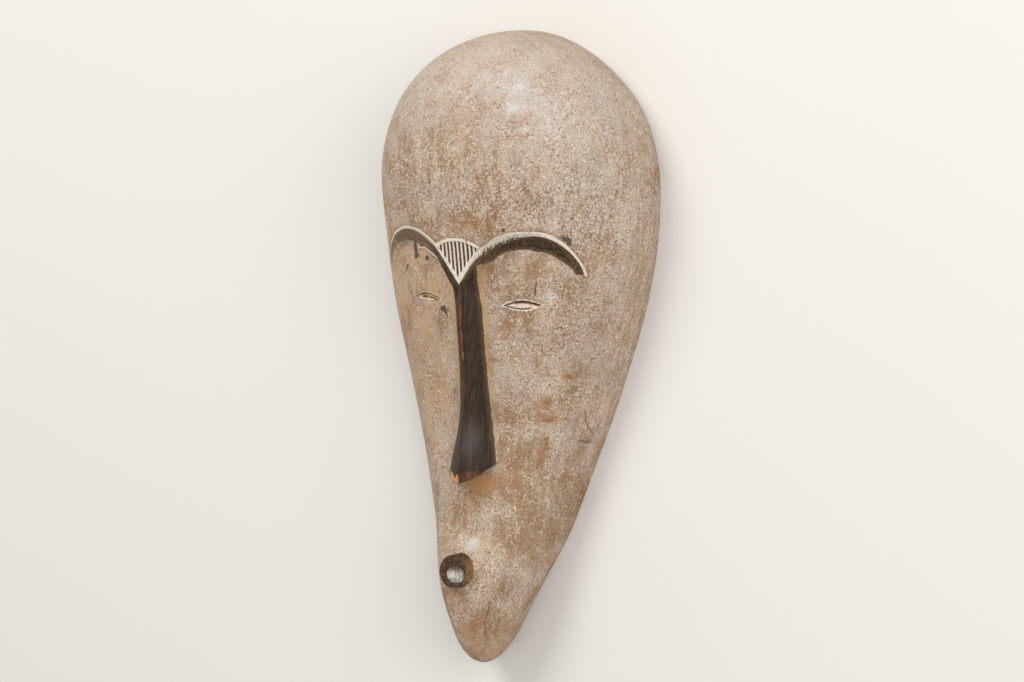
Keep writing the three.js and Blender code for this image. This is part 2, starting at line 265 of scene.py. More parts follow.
# how far a place lies below the brow line, square to the line
def belowBrow(x, y):
    ax = fromV(x)
    level = y - browLift(x)
    belowV = (brow.tipY + brow.slope * ax - level) / math.hypot(1, brow.slope)
    radius = np.where(ax < brow.topX, brow.innerRadius, brow.outerRadius)
    centreY = brow.topY - radius
    belowArch = radius - np.hypot(ax - brow.topX, level - centreY)
    beside = np.where(ax < brow.topX, belowV, np.minimum(belowV, radius - (ax - brow.topX)))
    onArch = np.where(level > centreY, np.minimum(belowV, belowArch), beside)
    return np.where(ax < brow.vReach, belowV, onArch)


def faceCut(x, y):
    under = np.clip(belowBrow(x, y) / brow.slopeWidth, 0, 1)
    reach = smoothStep(brow.fadeLow, brow.fadeHigh, y)
    share = np.abs(x) / np.maximum(0.01, halfWidth(y))
    fade = 1 - smoothStep(brow.fadeFrom + brow.fadeRise * reach, brow.fadeTo, share)
    return np.maximum(0, through(brow.depths, y)) * fade * under


def faceHeight(x, y):
    return outerHeight(x, y) - faceCut(x, y)


def noseHeight(x, y):
    width = through(nose.halfWidths, y)
    ridge = np.where(y > brow.tipY, midHeight(y) - 2, through(nose.ridge, y))
    foot = faceHeight(width, np.minimum(y, brow.tipY - brow.slopeWidth))
    return ridge - (ridge - foot) * np.abs(x / width) ** nose.roundness


# how far a place lies under the upper and over the lower lid of its eye
def insideEye(x, y):
    dx, dy = x - np.where(x < 0, eye.leftX, eye.x), y - eye.y
    turn = np.where(x < 0, eye.leftTurn, eye.turn)
    along = dx * np.cos(turn) + dy * np.sin(turn)
    across = dy * np.cos(turn) - dx * np.sin(turn)
    half = eye.halfHeight * (1 - (along / eye.halfLength) ** 2)
    return half - across, half + across, along


def trench(inside, width):
    return smoothStep(-0.15, 0.35 * width, inside) * (1 - smoothStep(0.55 * width, 1.15 * width, inside))


# the grooved fan: how far a place lies inside its field, and its grooves
def insideFan(x, y):
    offset = x - brow.vShift
    centreY = fan.topY - fan.radius
    belowTop = fan.radius - np.hypot(offset, y - centreY)
    aboveV = -belowBrow(x, y)
    narrowing = np.clip(offset / fan.rightReach, 0, 1)
    rightBorder = fan.rightBorder + (fan.rightBorderEnd - fan.rightBorder) * narrowing
    border = np.where(offset > 0, rightBorder, fan.border)
    return np.minimum(belowTop - fan.border, aboveV - border), belowTop, aboveV


def grooveAt(x):
    place = (x - fan.middleX) / fan.pitch + fan.count / 2
    inCount = (place > 0) & (place < fan.count)
    fromMiddle = (place - np.floor(place) - 0.5) * fan.pitch
    return np.where(inCount, fan.width / 2 - np.abs(fromMiddle), -1.0), fromMiddle


def nearPath(x, y, points):
    nearest = np.full(len(x), 1e6)
    for (ax, ay), (bx, by) in zip(points, points[1:]):
        t = np.clip(((x - ax) * (bx - ax) + (y - ay) * (by - ay)) / ((bx - ax) ** 2 + (by - ay) ** 2), 0, 1)
        nearest = np.minimum(nearest, np.hypot(x - ax - t * (bx - ax), y - ay - t * (by - ay)))
    return nearest


def spread(x, y, marks):
    total = np.zeros(len(x))
    for mx, my, across, along, amount in marks:
        total += amount * np.exp(-((x - mx) / across) ** 2 - ((y - my) / along) ** 2)
    return total


# rows run from crown (0) to chin (1), and one of them follows the brow line
def rowY(row, x):
    browRow, footRow = sheet.browRow, sheet.footRow
    top = browLine(x)
    steep = np.where(np.abs(x) < brow.vReach, math.hypot(1, brow.slope), steepSide)
    foot = top - brow.slopeWidth * steep
    half, middle = form.halfLength, form.middleY
    above = np.arcsin(alongForm(top)) * row / browRow + math.pi / 2 * (1 - row / browRow)
    share = (row - footRow) / (1 - footRow)
    below = np.arcsin(alongForm(foot)) * (1 - share) - math.pi / 2 * share
    band = top + (foot - top) * (row - browRow) / (footRow - browRow)
    return np.where(row < browRow, middle + half * np.sin(above),
                    np.where(row > footRow, middle + half * np.sin(below), band))


def placeOnFace(share, row):
    y = rowY(row, 0 * row)
    for _ in range(10):
        y = (y + rowY(row, share * halfWidth(y))) / 2
    return share * halfWidth(y), y


def handmade(points, scale, amount):
    noise.seed_set(form.handSeed)
    moved = points.copy()
    for i, p in enumerate(points):
        moved[i] += amount * np.array(noise.noise_vector(Vector(p) / scale))
    return moved


# the nose, its rows drawn out towards the overhanging tip, and how far a place lies inside its sides
def carveNose(x, plan):
    rootY, footY, band = nose.rootY, nose.footY, nose.wallBand
    onNose = np.clip(plan, footY, None)
    down = np.clip((rootY - onNose) / (rootY - footY), 0, 1)
    y = onNose.copy()
    for _ in range(12):
        lift = np.maximum(0, noseHeight(x, y) - faceHeight(x, y))
        lift = np.where(plan > rootY, 0, lift)
        y = (y + onNose - nose.undercut * lift * down) / 2
    z = faceHeight(x, y) + lift
    endWidth = float(through(nose.halfWidths, footY))
    noseWidth = through(nose.halfWidths, y)
    beside = 1 - smoothStep(endWidth, endWidth + nose.sideSettle, np.abs(x))
    t = np.clip((footY - plan) / band, 0, 1)
    onEnd = np.abs(x) < endWidth
    inWall = (plan < footY) & (plan >= footY - band)
    wallY = np.where(onEnd, y * (1 - t) + footY * t, footY - (footY - plan) * (1 - beside))
    wallZ = np.where(onEnd, z * (1 - t) + faceHeight(x, footY) * t, faceHeight(x, wallY))
    past = plan < footY - band
    belowY = plan + band * beside * (1 - smoothStep(0, nose.settle, footY - band - plan))
    y = np.where(inWall, wallY, np.where(past, belowY, y))
    z = np.where(inWall, wallZ, np.where(past, faceHeight(x, belowY), z))
    noseSide = np.where(plan > footY - band, np.where(inWall, endWidth, noseWidth) - np.abs(x),
                        plan - footY + band)

    # towards the tip the left side hangs lower and wider than the right
    left = np.clip(-x / nose.dropAcross, 0, 1) * (1 - smoothStep(*nose.dropEnds, -x))
    atTip = smoothStep(nose.dropFrom, -footY, -plan) * (1 - smoothStep(*nose.tipEnds, -plan))
    spreading = np.where(x < 0, nose.leftSpread, nose.rightSpread)
    spreading = spreading * (1 - smoothStep(*nose.spreadEnds, np.abs(x)))
    return x * (1 + atTip * spreading), y - nose.leftDrop * left * atTip, z, noseSide


# eyes, fan and cracks are cut straight down
def cutDetails(x, y, z, inFan, groove):
    underLid, overLid, alongEye = insideEye(x, y)
    inEye = np.minimum(underLid, overLid)
    z = z - eye.upperDepth * trench(underLid, eye.upperCut) * smoothStep(-0.3, 0.3, overLid)
    z = z - eye.lowerDepth * trench(overLid, eye.lowerCut) * smoothStep(0.4, 1.6, underLid)
    z = z - eye.sunk * smoothStep(0, 1, inEye)
    z = z - fan.sunk * smoothStep(-0.3, 0.7, inFan)
    z = z - fan.depth * (groove > 0.01) * smoothStep(-0.2, 0.6, inFan)
    cutField = np.full(len(x), -5.0)
    for points, width, depth in cuts.values():
        within = width - nearPath(x, y, points)
        z = z - depth * smoothStep(0, width, within)
        cutField = np.maximum(cutField, within)
    return z, {"groove": np.minimum(groove, inFan), "underLid": underLid, "overLid": overLid,
               "alongEye": alongEye, "cut": cutField}


# splinters have broken off the nose's lower edge
def chipNose(z, noseX, plan, noseSide):
    footY, band = nose.footY, nose.wallBand
    chipField = np.full(len(z), -5.0)
    upFromEdge = np.where(plan < footY, 3 * (footY - plan), plan - footY)
    onEnd = (noseSide > -0.5) & (plan > footY - band)
    for (cx, cy), (across, up) in chips.values():
        away = np.hypot((noseX - cx) / across, (upFromEdge - cy) / up)
        chipField = np.maximum(chipField, np.where(onEnd, (1 - away) * up, -5))
    return z - chipDepth * smoothStep(0, 1.1, chipField) * smoothStep(footY - band, footY, plan), chipField


# the mouth's short tube: rings of the sheet make its floor, hole, rim and outer wall
def raiseMouth(x, y, z):
    floorBand, holeBand = mouth.floorBand, mouth.holeBand
    rimBand, wallBand = mouth.rimBand, mouth.wallBand
    rho = np.hypot(x - mouth.x, y - mouth.y)
    near = rho < mouth.reach
    angle = np.arctan2(y - mouth.y, x - mouth.x)
    across, along = mouth.holeAcross, mouth.holeAlong
    hole = across * along / np.hypot(along * np.cos(angle), across * np.sin(angle))
    rise, depth = mouth.rise, mouth.holeDepth
    toHole = np.clip(rho / floorBand, 0, 1) * mouth.taper * hole
    toEdge = (rho - floorBand) / (holeBand - floorBand)
    tubeR = np.where(rho < floorBand, toHole, hole * (mouth.taper + (1 - mouth.taper) * toEdge))
    toRim = np.clip((rho - holeBand) / (rimBand - holeBand), 0, 1)
    tubeR = np.where(rho > holeBand, hole + (mouth.rimRadius - hole) * toRim, tubeR)
    tubeH = np.interp(rho, [0, floorBand, holeBand, rimBand],
                      [rise - depth - mouth.dish, rise - depth, rise, rise])
    tubeH = tubeH - mouth.lip * np.exp(-((rho - holeBand) / mouth.lipWidth) ** 2)
    inHole = 1 - smoothStep(holeBand, rimBand, rho)
    turn = np.clip((rho - rimBand) / (wallBand - rimBand), 0, 1)
    quarter = turn * math.pi / 2
    outwards = (mouth.radius - mouth.rimRadius) * np.sin(quarter) ** mouth.roundness
    tubeR = np.where(rho > rimBand, mouth.rimRadius + outwards, tubeR)
    tubeH = np.where(rho > rimBand, rise * np.cos(quarter) ** mouth.roundness, tubeH)
    tall = 1 + (mouth.tall - 1) * (1 - inHole)
    tx = tubeR * np.cos(angle) + mouth.holeX * inHole + mouth.x
    ty = tubeR * np.sin(angle) * tall + mouth.holeY * inHole
    base = float(faceHeight(mouth.x, mouth.y)) - mouth.seat
    flatR = np.interp(rho, [0, wallBand, mouth.reach], [0, mouth.radius, mouth.reach])
    flatTall = np.interp(rho, [0, wallBand, mouth.reach], [mouth.tall, mouth.tall, 1])
    flatX = flatR * np.cos(angle) + mouth.x
    flatY = flatR * np.sin(angle) * flatTall + mouth.y
    flatZ = faceHeight(flatX, flatY)
    settle = turn**2
    tubeX = np.where(near, tx * (1 - settle) + flatX * settle, x)
    tubeY = np.where(near, (ty + mouth.y) * (1 - settle) + flatY * settle, y)
    tubeZ = np.where(near, (tubeH + base) * (1 - settle) + flatZ * settle, z)
    beyond = near & (rho > wallBand)
    return np.where(beyond, flatX, tubeX), np.where(beyond, flatY, tubeY), np.where(beyond, flatZ, tubeZ), rho


# the form draws in towards the rim
def drawIn(x, y, plan, shell):
    chin = smoothStep(form.chinDrawFrom, form.chinDrawTo, -plan)
    low = 1 - np.clip(shell / (form.rimDrawHeight + form.chinDrawHeight * chin), 0, 1)
    x = x * (1 - (form.rimDraw + form.chinDrawAcross * chin) * low**2)
    along = 1 - (form.rimDraw + form.chinDrawAlong * chin) * low**2
    return x, form.middleY + (y - form.middleY) * along


# how far a place lies inside the dark stain and the white lines
def paintBands(x, plan, below, belowTop, aboveV, inFan, groove, noseSide):
    ax = np.abs(x)

    def bySide(right, left, at):
        return np.where(x > 0, through(right, at), through(left, at))

    bandWidth = bySide(paint.rightBand, paint.leftBand, ax)
    lineTop = bySide(paint.rightLineTop, paint.leftLineTop, ax)
    lineFoot = bySide(paint.rightLineFoot, paint.leftLineFoot, ax)
    byBrows = plan > paint.browsFrom
    ends = np.where(ax > paint.endsFrom, plan - paint.lowest, farAway)
    topEdge = np.where(byBrows, below - lineFoot, farAway)
    onRoot = np.minimum(bySide(paint.rightNose, paint.leftNose, plan) - ax, plan - paint.rootFrom)
    stain = np.maximum(np.minimum(bandWidth - below, ends), np.maximum(noseSide, onRoot))
    stain = np.where(byBrows & (below < -paint.clear), -farAway, stain)
    teeth = paint.teeth * smoothStep(*paint.teethFrom, x) * (1 - smoothStep(*paint.teethTo, x))
    line = np.minimum(np.minimum(below - lineTop, lineFoot + teeth - below), ends + 1)
    topHalf = paint.topLine / 2
    topLine = np.minimum(topHalf - np.abs(belowTop - topHalf), aboveV)
    bars = np.minimum(inFan + 0.6, -groove)
    return {"stain": stain, "topEdge": topEdge, "line": np.maximum(np.maximum(line, topLine), bars)}


# shapes the flat sheet (u across, v from chin to crown) into the carved front, and says what is
# painted where
def carveFront(u, v):
    share = np.sin(u * math.pi / 2)
    x, plan = placeOnFace(share, (1 - v) / 2)
    inFan, belowTop, aboveV = insideFan(x, plan)
    groove, fromMiddle = grooveAt(x)
    onWall = (np.abs(groove) < fan.edge) & (inFan > -1)
    noseX = np.where(onWall, x + np.sign(fromMiddle) * groove, x)
    groove = np.where(onWall, 0, groove)
    shell = outerHeight(noseX, plan)
    below = belowBrow(noseX, plan)
    x, y, z, noseSide = carveNose(noseX, plan)
    z, fields = cutDetails(x, y, z, inFan, groove)
    z, fields["chip"] = chipNose(z, noseX, plan, noseSide)
    x, y, z, fields["mouthRing"] = raiseMouth(x, y, z)
    x, y = drawIn(x, y, plan, shell)
    fields.update(paintBands(x, plan, below, belowTop, aboveV, inFan, groove, noseSide))
    fields["paleLine"] = paleLine["width"] - nearPath(x, y, paleLine["points"])
    for name, marks in (("clay", clayMarks), ("rust", rustMarks), ("soot", sootMarks)):
        fields[name] = spread(x, y, marks)
    return np.stack([x, y, z], 1), fields


def lessWall(size, thickness):
    return size - thickness * (1 - (1 - np.clip(size / wall.fullFrom, 0, 1)) ** 2)


# the hollow behind
def carveHollow(u, v):
    share = np.sin(u * math.pi / 2)
    outerY = form.middleY + form.halfLength * np.sin(v * math.pi / 2)
    low = form.middleY - form.halfLength + wall.chin
    high = form.middleY + form.halfLength - wall.crown
    y = low + (high - low) * (alongForm(outerY) + 1) / 2
    depths = np.maximum(0, through(brow.depths, outerY)) * (1 - smoothStep(*wall.browEnds, outerY))
    top = lessWall(midHeight(outerY) - depths, wall.face)
    x = share * lessWall(halfWidth(outerY), wall.side)
    z = arch(share, top, sectionPower(outerY))
    lane = (np.abs(x) + wall.gougeSway * np.sin(y / wall.swayLength)) / wall.gougeWidth
    scoop = 0.5 - 0.5 * np.cos(2 * math.pi * lane)
    z = z - wall.gougeDepth * scoop * smoothStep(*wall.gougeFrom, z)
    return np.stack([x, y, z], 1)


# how finely each place on the front needs to be divided
def fineness(u, v):
    x, y = placeOnFace(np.sin(u * math.pi / 2), (1 - v) / 2)
    below = belowBrow(x, y)
    need = np.zeros(len(x), int)
    onBrow = (below > -sheet.aboveBrow) & (below < sheet.belowBrow)
    onBrow = onBrow & (y > sheet.browFoot) & (np.abs(x) < sheet.browReach)
    onNose = np.abs(x) < through(nose.halfWidths, y) + sheet.besideNose
    onNose = onNose & (y < sheet.noseTop) & (y > nose.footY - sheet.underNose)
    need[onBrow | onNose] = 2
    for points, width, _ in cuts.values():
        need[nearPath(x, y, points) < width + sheet.aroundCut] = 3
    need[nearPath(x, y, paleLine["points"]) < sheet.aroundPaleLine] = 3
    inFan, _, _ = insideFan(x, y)
    underLid, overLid, _ = insideEye(x, y)
    need[(inFan > -sheet.aroundFan) | (np.minimum(underLid, overLid) > -sheet.aroundEye)] = 3
    rho = np.hypot(x - mouth.x, y - mouth.y)
    need[rho < mouth.reach - sheet.insideMouthReach] = 2
    need[rho < mouth.wallBand + sheet.aroundMouth] = 3
    return need


# distances kept on each corner, which say how far it lies inside a painted or carved shape
shapeFields = ["stain", "topEdge", "line", "groove", "underLid", "overLid", "alongEye", "mouthRing",
               "cut", "chip", "paleLine"]


def addSheet(carving, across):
    return bmesh.ops.create_grid(carving, x_segments=across, y_segments=sheet.along, size=1)["verts"]


# where the corners of a flat sheet lie on it
def flatPlaces(corners):
    flat = np.array([v.co[:] for v in corners])
    return flat[:, 0], flat[:, 1]


# the front: a flat sheet divided finer around its details, then shaped
def addFront(carving, layers):
    addSheet(carving, sheet.across)
    for step in (1, 2, 3):
        need = fineness(*flatPlaces(carving.verts)) >= step
        edges = [e for e in carving.edges if need[e.verts[0].index] and need[e.verts[1].index]]
        bmesh.ops.subdivide_edges(carving, edges=edges, cuts=1, use_grid_fill=True)
        carving.verts.index_update()
    front, fields = carveFront(*flatPlaces(carving.verts))
    aboveRim = smoothStep(0, form.handFullFrom, front[:, 2])
    moved = handmade(front, form.handScale, form.handAmount) - front
    front[:, :2] += moved[:, :2]
    front[:, 2] += moved[:, 2] * aboveRim
    for v, p in zip(carving.verts, front):
        v.co = p
    for name, values in fields.items():
        layer = layers[name]
        for v, value in zip(carving.verts, np.clip(values, -farAway, farAway)):
            v[layer] = value


def addHollow(carving, layers):
    made = addSheet(carving, sheet.hollowAcross)
    for v, p in zip(made, carveHollow(*flatPlaces(made))):
        v.co = p
        v[layers["hollow"]] = 1.0
        for name in shapeFields:
            v[layers[name]] = -farAway


# joins front and hollow by the flat rim, and rounds its edges
def closeRim(carving):
    bmesh.ops.remove_doubles(carving, verts=carving.verts, dist=sheet.weld)
    edges = [e for e in carving.edges if e.is_boundary]
    for side in (1, -1):
        half = [e for e in edges if side * sum(v.co.x for v in e.verts) > 0]
        bmesh.ops.bridge_loops(carving, edges=half)
    bmesh.ops.recalc_face_normals(carving, faces=carving.faces)
    sharp = [e for e in edges if e.is_valid]
    bmesh.ops.bevel(carving, geom=sharp, offset=wall.rimRound, segments=2, profile=0.5, affect="EDGES",
                    material=-1, clamp_overlap=True)
    bmesh.ops.recalc_face_normals(carving, faces=carving.faces)


def buildMask():
    carving = bmesh.new()
    names = ["hollow", "clay", "rust", "soot"] + shapeFields
    layers = {name: carving.verts.layers.float.new(name) for name in names}
    addFront(carving, layers)
    addHollow(carving, layers)
    closeRim(carving)
    print("mask vertices", len(carving.verts), "faces", len(carving.faces),
          "open edges", sum(e.is_boundary for e in carving.edges))
    bmesh.ops.scale(carving, verts=carving.verts, vec=(mm, mm, mm))
    mesh = bpy.data.meshes.new("mask")
    carving.to_mesh(mesh)
    carving.free()
    for polygon in mesh.polygons:
        polygon.use_smooth = True
    mask = bpy.data.objects.new("mask", mesh)
    bpy.context.scene.collection.objects.link(mask)
    return mask


def plainMaterial(name, colour, roughness):
    material = bpy.data.materials.new(name)
    material.use_nodes = True
    shader = material.node_tree.nodes["Principled BSDF"]
    shader.inputs["Base Color"].default_value = (*colour, 1)
    shader.inputs["Roughness"].default_value = roughness
    return material


def linear(colour):
    return tuple((c / 255 / 12.92) if c < 10 else ((c / 255 + 0.055) / 1.055) ** 2.4 for c in colour) + (1.0,)


# small helpers that wire one node each; places are in millimetres
class Nodes:
    def __init__(self, material):
        self.tree = material.node_tree
        self.place = self.tree.nodes.new("ShaderNodeTexCoord").outputs["Object"]
        split = self.tree.nodes.new("ShaderNodeSeparateXYZ")
        self.put(split.inputs[0], self.place)
        self.x, self.y, self.z = (self.math("DIVIDE", axis, mm) for axis in split.outputs)
        self.made = {}

    def put(self, socket, value):
        if isinstance(value, bpy.types.NodeSocket):
            self.tree.links.new(value, socket)
        else:
            socket.default_value = value

    def math(self, operation, a, b=0.0):
        made = self.tree.nodes.new("ShaderNodeMath")
        made.operation = operation
        self.put(made.inputs[0], a)
        self.put(made.inputs[1], b)
        return made.outputs[0]

    def field(self, name):
        made = self.tree.nodes.new("ShaderNodeAttribute")
        made.attribute_name = name
        return made.outputs["Fac"]

    # one of the noises listed in noises, made once
    def noise(self, name):
        if name not in self.made:
            size, detail, rough, stretch, offset = noises[name]
            mapping = self.tree.nodes.new("ShaderNodeMapping")
            mapping.inputs["Scale"].default_value = stretch
            mapping.inputs["Location"].default_value = offset
            self.put(mapping.inputs["Vector"], self.place)
            made = self.tree.nodes.new("ShaderNodeTexNoise")
            made.inputs["Scale"].default_value = 1 / (size * mm)
            made.inputs["Detail"].default_value = detail
            made.inputs["Roughness"].default_value = rough
            self.put(made.inputs["Vector"], mapping.outputs[0])
            self.made[name] = made.outputs["Fac"]
        return self.made[name]

    # a noise that swings to both sides of nothing
    def swing(self, name, amount):
        return self.times(self.add(self.noise(name), -0.5), amount)

    # from 0 at low to 1 at high, and from 1 to 0 where low is the larger
    def rise(self, value, low, high):
        made = self.tree.nodes.new("ShaderNodeMapRange")
        made.interpolation_type = "SMOOTHSTEP"
        made.inputs["From Min"].default_value = min(low, high)
        made.inputs["From Max"].default_value = max(low, high)
        made.inputs["To Min"].default_value = 0.0 if low < high else 1.0
        made.inputs["To Max"].default_value = 1.0 if low < high else 0.0
        self.put(made.inputs["Value"], value)
        return made.outputs["Result"]

    # the edge of a painted shape, roughened by a share of a noise
    def edge(self, inside, rough, share, low, high):
        return self.rise(self.add(inside, self.times(rough, share)), low, high)

    # a colour given by name is one of finish
    def blend(self, share, under, over):
        made = self.tree.nodes.new("ShaderNodeMix")
        made.data_type = "RGBA"
        made.clamp_factor = True
        self.put(made.inputs[0], share)
        self.put(made.inputs[6], linear(finish[under]) if isinstance(under, str) else under)
        self.put(made.inputs[7], linear(finish[over]) if isinstance(over, str) else over)
        return made.outputs[2]

    def add(self, *parts):
        total = parts[0]
        for part in parts[1:]:
            total = self.math("ADD", total, part)
        return total

    def times(self, *parts):
        total = parts[0]
        for part in parts[1:]:
            total = self.math("MULTIPLY", total, part)
        return total


finish = {
    "deep": (132, 102, 76), "clay": (211, 192, 171), "wood": (144, 109, 78), "fleck": (225, 211, 194),
    "greyClay": (188, 178, 169), "orange": (166, 118, 76), "ochre": (190, 153, 111),
    "warm": (196, 157, 117), "pit": (92, 66, 47), "speck": (104, 76, 54), "stain": (28, 17, 7),
    "stainWarm": (84, 53, 29), "stainEdge": (106, 80, 52), "faded": (128, 103, 76),
    # paintedHighlight is the grey of a highlight painted onto the stain, not a colour the stain has
    "fadedGrey": (138, 120, 106), "worn": (186, 108, 56), "paintedHighlight": (92, 85, 82),
    "line": (232, 221, 206), "groove": (70, 56, 42), "bareEdge": (226, 172, 104), "soot": (66, 54, 46),
    "rawWood": (158, 120, 84), "rawDark": (116, 82, 54), "mouthIn": (216, 208, 196),
    "mouthCool": (126, 130, 138), "mouthBrown": (136, 108, 80), "mouthRing": (102, 74, 51),
    "mouthDark": (48, 35, 26), "mouthOchre": (156, 116, 72), "eyeFill": (224, 210, 192),
    "eyeOrange": (160, 110, 64), "eyeLineAndShade": (50, 40, 31), "olive": (110, 92, 62),
    "redBrown": (104, 52, 34), "underNose": (190, 143, 93), "chalkyClay": (213, 208, 205),
    "rust": (126, 88, 52),
}

# noises: size in millimetres, detail, roughness, stretch and offset
even = (1, 1, 1)
noises = {
    "cloud": (75, 4, 0.55, even, (0, 0, 0)), "patch": (21, 6, 0.62, (1, 0.7, 1), (0, 0, 0)),
    "grain": (3, 4, 0.7, (1, 0.85, 1), (0, 0, 0)), "fine": (1.15, 3, 0.75, (1, 0.85, 1), (4, 7, 9)),
    "streak": (5, 5, 0.68, (1, 0.07, 1), (0, 0, 0)), "gather": (12, 5, 0.62, even, (2, 6, 6)),
    "greyPatch": (36, 5, 0.62, even, (3, 1, 0)), "rusty": (6, 5, 0.7, even, (4, 4, 4)),
    "tide": (19, 6, 0.66, even, (1, 5, 2)), "blush": (26, 6, 0.68, even, (6, 2, 8)),
    "deepRust": (2.6, 4, 0.8, even, (7, 3, 3)), "mottle": (4, 4, 0.75, even, (7, 7, 2)),
    "speck": (1.8, 2, 0.65, (1, 0.75, 1), (8, 2, 3)), "crumb": (1.9, 2, 0.65, (1, 0.85, 1), (5, 1, 7)),
    "scab": (5.5, 4, 0.75, (1, 0.8, 1), (9, 3, 7)), "side": (2.6, 4, 0.65, (1, 0.06, 1), (2, 9, 4)),
    "pits": (3, 4, 0.8, even, (3, 8, 2)), "soot": (1.6, 3, 0.75, even, (6, 6, 1)),
    "eyeEdge": (1.6, 4, 0.75, even, (5, 5, 5)), "eyeChalk": (2, 3, 0.8, even, (2, 5, 1)),
    "wander": (5, 4, 0.65, even, (2, 2, 2)), "tooth": (1.7, 4, 0.75, even, (6, 1, 3)),
    "teeth": (1.7, 3, 0.7, (1, 0.16, 1), (1, 6, 5)), "chalk": (2.2, 5, 0.8, even, (1, 1, 9)),
    # paintedSheen breaks up the painted highlight on the nose
    "hairs": (2.6, 4, 0.85, (1, 0.26, 1), (2, 6, 1)), "paintedSheen": (6, 3, 0.6, (1, 0.1, 1), (9, 1, 1)),
    "fading": (5, 5, 0.75, (1, 0.6, 1), (2, 4, 7)), "grooveWear": (3, 4, 0.75, even, (4, 8, 8)),
    "tube": (3.4, 5, 0.75, even, (3, 1, 1)), "tubeWear": (3, 4, 0.75, even, (1, 2, 1)),
    "inMouth": (5, 4, 0.6, (2.2, 0.6, 1), (0, 0, 0)), "mouthEdge": (3, 3, 0.6, even, (0, 0, 0)),
    "fibre": (1.8, 5, 0.7, (1, 0.05, 1), (3, 3, 3)), "raw": (3, 6, 0.65, (1, 0.06, 1), (5, 0, 0)),
}


# where the crust is busy, low on the forehead most of all
def busyClay(n):
    lowForehead = n.times(n.rise(n.y, 200, 140), n.rise(n.y, 90, 105))
    busy = n.add(n.noise("gather"), n.times(n.noise("patch"), 0.3), n.times(n.field("clay"), 0.04),
                 n.times(lowForehead, 0.07))
    return n.rise(busy, 0.58, 0.76), lowForehead


# clay over the wood: a soft mixture at every scale, with bare wood and greyer and warmer parts
def clayCoat(n, busy, lowForehead):
    clay = n.field("clay")
    patch, grain, fine, streak = (n.noise(name) for name in ("patch", "grain", "fine", "streak"))
    crumbs = n.times(n.add(fine, -0.5), n.add(0.8, n.times(busy, 0.85)))
    run = n.times(n.add(streak, -0.5), n.add(0.15, n.times(lowForehead, 0.55)))
    mixture = n.add(n.times(n.noise("cloud"), 0.26), n.times(patch, 0.44), n.times(grain, 0.5),
                    n.times(clay, 0.1), crumbs, run)
    colour = n.blend(n.rise(mixture, 0.38, 0.82), "deep", "clay")
    bareness = n.add(n.times(patch, 0.5), n.times(streak, 0.4), n.times(clay, 0.22), n.times(fine, 0.2))
    colour = n.blend(n.times(n.rise(bareness, 0.54, 0.4), 0.6), colour, "wood")
    grey = n.rise(n.add(n.noise("greyPatch"), n.times(clay, 0.12)), 0.46, 0.66)
    grey = n.add(n.times(grey, 0.38), n.times(n.rise(n.y, 160, 250), 0.42))
    colour = n.blend(grey, colour, "greyClay")
    warm = n.times(n.rise(n.x, -12, -40), n.rise(n.y, -130, -30),
                   n.rise(n.add(n.y, n.times(patch, 50)), 165, 100))
    warm = n.times(warm, n.edge(patch, streak, 0.6, 0.62, 0.92))
    colour = n.blend(n.times(warm, 0.52), colour, "warm")
    thick = n.rise(n.add(clay, n.times(grain, 0.8), n.times(fine, 1.2)), 1.3, 2.05)
    return n.blend(n.times(thick, 0.75), colour, "chalkyClay")


# tide marks, rust and wood rubbed bare
def rustOnClay(n, colour):
    rust, patch, grain = n.field("rust"), n.noise("patch"), n.noise("grain")
    rusty = n.times(rust, n.rise(n.noise("rusty"), 0.3, 0.6))
    ring = n.math("ABSOLUTE", n.add(n.noise("tide"), -0.52))
    tide = n.times(n.rise(ring, 0.026, 0.004), n.rise(n.noise("gather"), 0.4, 0.58))
    blush = n.times(n.rise(n.noise("blush"), 0.5, 0.7), n.rise(grain, 0.35, 0.6))
    orange = n.add(n.times(rusty, 0.6), n.times(tide, 0.55), n.times(blush, 0.52))
    colour = n.blend(orange, colour, "orange")
    bare = n.rise(n.add(rust, n.times(patch, 0.8), n.times(grain, 0.7)), 1.3, 2.3)
    colour = n.blend(n.times(bare, 0.72), colour, "underNose")
    deepRust = n.edge(rust, n.noise("deepRust"), 1.6, 1.3, 1.75)
    return n.blend(n.times(deepRust, n.rise(n.x, 26, 32), 0.7), colour, "rust")


# the smooth strip left bare beside the nose, and the browner wood just outside the painted lines
def besidePaint(n, colour):
    away = n.add(n.field("stain"), n.times(n.noise("patch"), 3), n.times(n.rise(n.y, 0, 30), 2.5), -1.5)
    strip = n.times(n.rise(away, -4.6, -2), n.rise(n.y, -100, 0), n.rise(n.y, 78, 70),
                    n.rise(n.math("ABSOLUTE", n.x), 26, 18))
    colour = n.blend(n.times(strip, 0.62), colour, "ochre")
    outside = n.times(n.rise(n.field("line"), -6, -0.8), n.rise(n.noise("mottle"), 0.34, 0.56))
    brown = n.blend(n.rise(n.noise("gather"), 0.4, 0.6), "wood", "orange")
    return n.blend(n.times(outside, 0.62), colour, brown), strip


